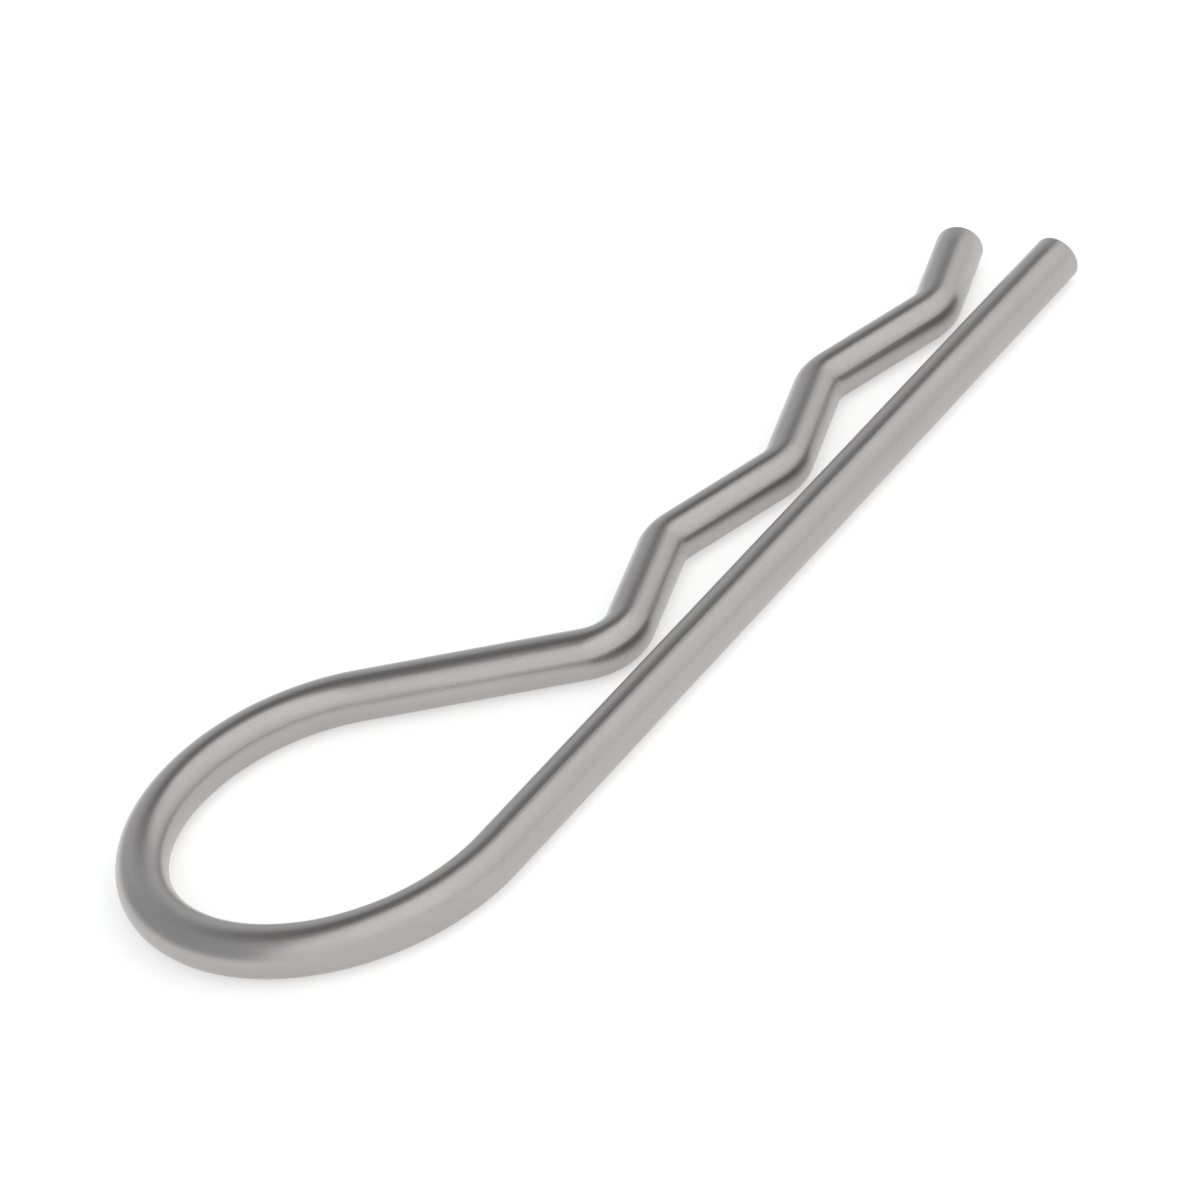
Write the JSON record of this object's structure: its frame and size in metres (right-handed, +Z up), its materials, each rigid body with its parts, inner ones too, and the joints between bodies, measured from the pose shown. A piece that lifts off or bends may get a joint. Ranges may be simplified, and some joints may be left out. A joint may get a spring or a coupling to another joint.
{
  "type": "hairpin cotter pin",
  "caption": "Hairpin cotter bent from one spring wire: a straight leg for a shaft's cross hole, a waved leg that grips the shaft, and a round eye to pull it by.",
  "frame": {"origin": "centre of the round eye, on the surface that the clip lies on", "axes": "+X along the straight leg, from the eye towards the free ends; +Y from the straight leg towards the waved leg; +Z up, square to the plane of the clip"},
  "size_m": [0.1103, 0.039, 0.0045],
  "materials": {
    "spring_steel": "satin drawn wire"
  },
  "bodies": {
    "root": {"hairpin_wire": "spring_steel"}
  },
  "joints": []
}
